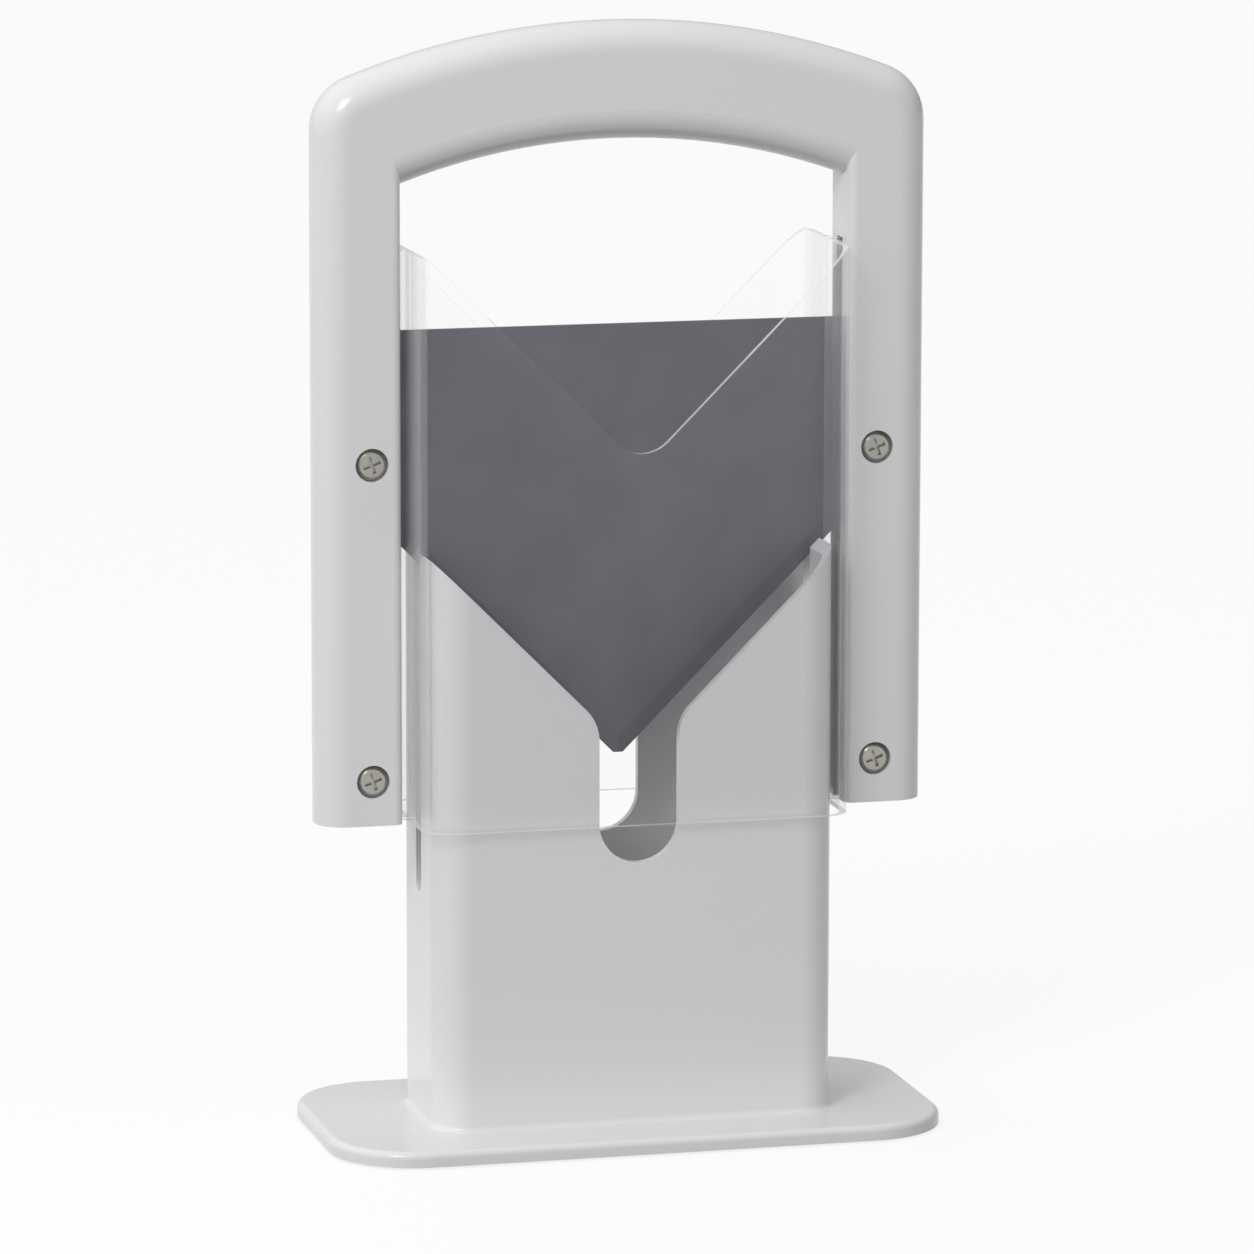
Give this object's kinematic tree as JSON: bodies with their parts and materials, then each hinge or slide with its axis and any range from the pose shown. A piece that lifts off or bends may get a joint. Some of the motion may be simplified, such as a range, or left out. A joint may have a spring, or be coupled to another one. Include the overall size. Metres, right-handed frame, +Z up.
{
  "type": "bagel guillotine slicer",
  "caption": "Countertop slicer: a V-edged blade between clear shields, pressed down by an arched handle over a slotted bagel holder on a foot plate.",
  "frame": {"origin": "middle of the footprint at the bottom of the rubber feet", "axes": "+Z up along the blade's travel, +X to the right seen from the front, the front faces -Y"},
  "size_m": [0.166, 0.084, 0.2947],
  "materials": {
    "white_plastic": "glossy moulded",
    "clear_plastic": "clear polished sheet",
    "coated_steel": "dark non-stick coating",
    "screw_steel": "nickel plated",
    "nut_brass": "plain",
    "rubber": "matte"
  },
  "bodies": {
    "base": {"holder": "white_plastic", "front_left_foot": "rubber", "front_right_foot": "rubber", "rear_left_foot": "rubber", "rear_right_foot": "rubber"},
    "slicer": {"handle_front": "white_plastic", "handle_rear": "white_plastic", "blade": "coated_steel", "front_shield": "clear_plastic", "rear_shield": "clear_plastic", "upper_left_screw": "screw_steel", "upper_right_screw": "screw_steel", "lower_left_screw": "screw_steel", "lower_right_screw": "screw_steel", "upper_left_nut": "nut_brass", "upper_right_nut": "nut_brass", "lower_left_nut": "nut_brass", "lower_right_nut": "nut_brass"}
  },
  "joints": [
    {"name": "blade_slide", "type": "slide", "parent": "base", "child": "slicer", "axis": [0, 0, 1], "range_m": [-0.0799, 0.065]}
  ]
}
